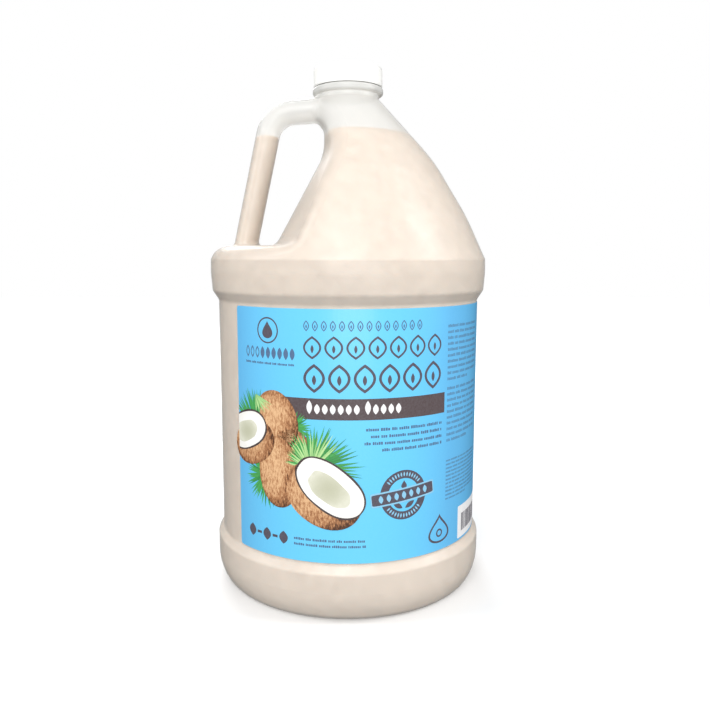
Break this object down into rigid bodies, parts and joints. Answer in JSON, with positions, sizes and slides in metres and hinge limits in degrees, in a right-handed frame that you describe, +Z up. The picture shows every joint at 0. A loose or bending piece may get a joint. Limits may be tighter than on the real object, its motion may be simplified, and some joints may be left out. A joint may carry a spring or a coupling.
{
  "type": "gallon lotion jug",
  "caption": "Round jug with a moulded side handle, a recessed wrap label, a short threaded neck with a ribbed screw cap, and cream lotion inside.",
  "frame": {"origin": "on the jug's vertical axis, at the level of its foot ring", "axes": "+Z up along the neck, -Y the label's front, -X the handle"},
  "size_m": [0.1584, 0.1584, 0.2937],
  "materials": {
    "natural_plastic": "clear to slightly milky blow-moulded plastic, satin gloss",
    "lotion": "smooth opaque cream",
    "label_film": "printed film, satin",
    "white_plastic": "injection moulded, satin, fine vertical ribs",
    "liner_foam": "foamed sealing disc"
  },
  "bodies": {
    "jug": {"jug_body": "natural_plastic", "lotion_fill": "lotion", "wrap_label": "label_film"},
    "closure_lift": {"cap_liner": "liner_foam"},
    "closure": {"cap": "white_plastic"}
  },
  "joints": [
    {"name": "cap_rise", "type": "slide", "parent": "jug", "child": "closure_lift", "axis": [0, 0, 1], "range_m": [0, 0.0107]},
    {"name": "cap_turn", "type": "hinge", "parent": "closure_lift", "child": "closure", "pos_m": [0, 0, 0.285], "axis": [0, 0, 1], "range_deg": [0, 900]}
  ],
  "couplings": [
    {"joint": "cap_rise", "follows": "cap_turn", "m_per_rad": 0.00067376}
  ]
}
